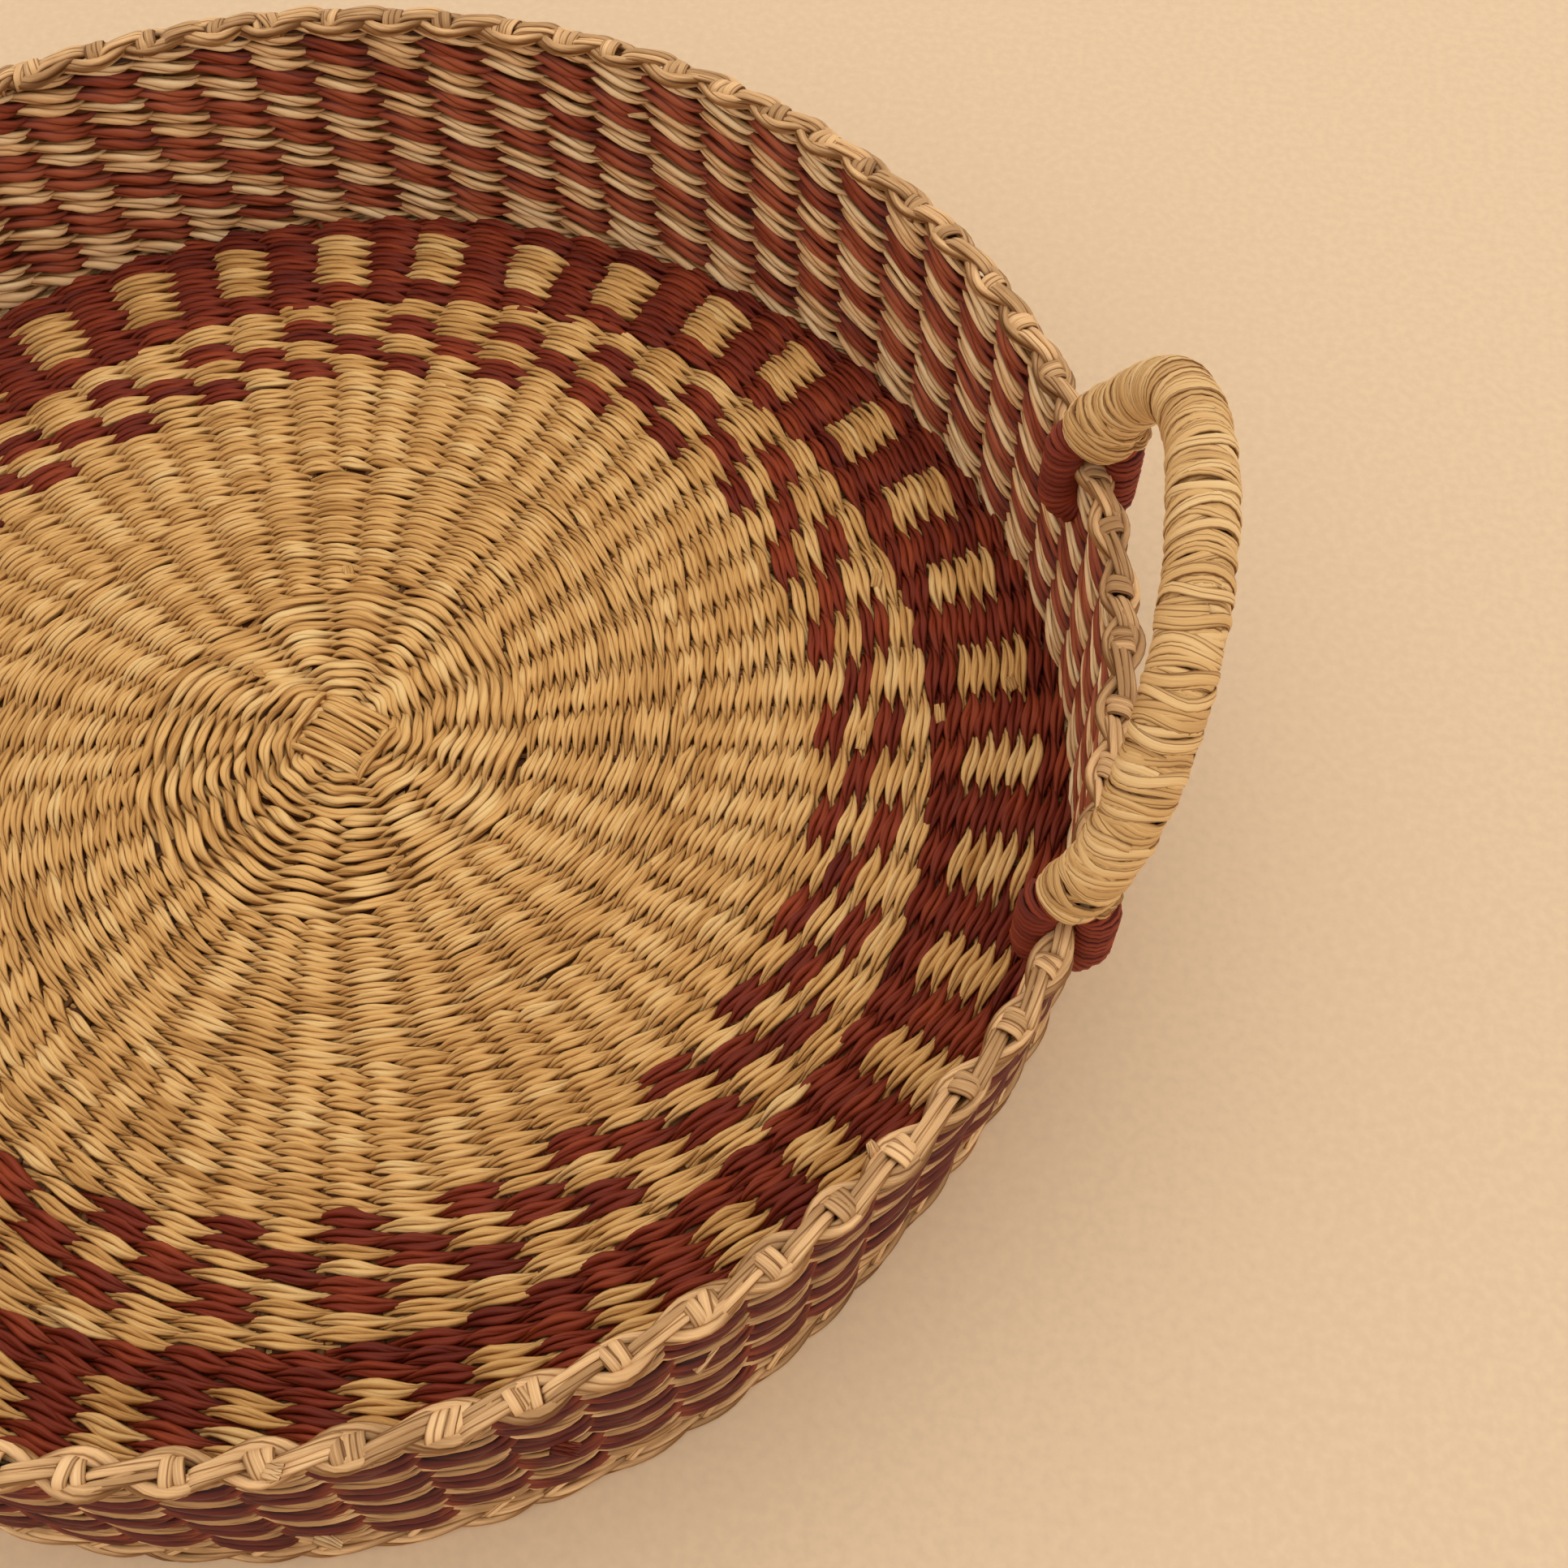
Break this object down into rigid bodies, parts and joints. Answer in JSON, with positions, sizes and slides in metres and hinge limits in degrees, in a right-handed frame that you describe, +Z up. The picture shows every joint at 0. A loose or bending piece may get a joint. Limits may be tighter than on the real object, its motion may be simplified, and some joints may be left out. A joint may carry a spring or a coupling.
{
  "type": "woven tray",
  "caption": "Round twined straw tray with a low straight wall, a check pattern in dark red, a bound rim and two wound bail handles that swing on wound rings.",
  "frame": {"origin": "middle of the underside, on the surface that the tray stands on", "axes": "+X towards the handle that the picture shows, +Z up"},
  "size_m": [0.4156, 0.3948, 0.1422],
  "materials": {
    "straw": "matt natural straw strand",
    "pale_straw": "satin pale straw strand",
    "dark_straw": "matt straw strip",
    "red_straw": "matt dark red dyed strand",
    "cane": "bare cane"
  },
  "bodies": {
    "tray": {"stake_fan_1": "dark_straw", "stake_fan_2": "dark_straw", "stake_fan_3": "dark_straw", "stake_fan_4": "dark_straw", "stake_fan_5": "dark_straw", "stake_fan_6": "dark_straw", "stake_fan_7": "dark_straw", "stake_fan_8": "dark_straw", "start_patch": "straw", "floor_inner_ring": "straw", "floor_outer_ring": "straw", "floor_dash_ring": "red_straw", "floor_border_ring": "straw", "floor_check_ring": "red_straw", "underside_center": "straw", "underside_check_ring": "red_straw", "foot_row": "pale_straw", "wall_base_inside": "straw", "wall_base_outside": "straw", "wall_checks_inside": "red_straw", "wall_checks_outside": "red_straw", "wall_top_inside": "pale_straw", "wall_top_outside": "pale_straw", "rim_border": "pale_straw", "right_ring_front": "red_straw", "right_ring_back": "red_straw", "left_ring_front": "red_straw", "left_ring_back": "red_straw"},
    "right_handle": {"right_core": "cane", "right_grip_wrap_1": "pale_straw", "right_grip_wrap_2": "pale_straw", "right_grip_wrap_3": "pale_straw", "right_end_wrap_front": "straw", "right_end_wrap_back": "straw"},
    "left_handle": {"left_core": "cane", "left_grip_wrap_1": "pale_straw", "left_grip_wrap_2": "pale_straw", "left_grip_wrap_3": "pale_straw", "left_end_wrap_front": "straw", "left_end_wrap_back": "straw"}
  },
  "joints": [
    {"name": "right_handle_swing", "type": "hinge", "parent": "tray", "child": "right_handle", "pos_m": [0.18387, 0, 0.0803], "axis": [0, 1, 0], "range_deg": [-62, 45]},
    {"name": "left_handle_swing", "type": "hinge", "parent": "tray", "child": "left_handle", "pos_m": [-0.18387, 0, 0.0803], "axis": [0, -1, 0], "range_deg": [-62, 45]}
  ]
}
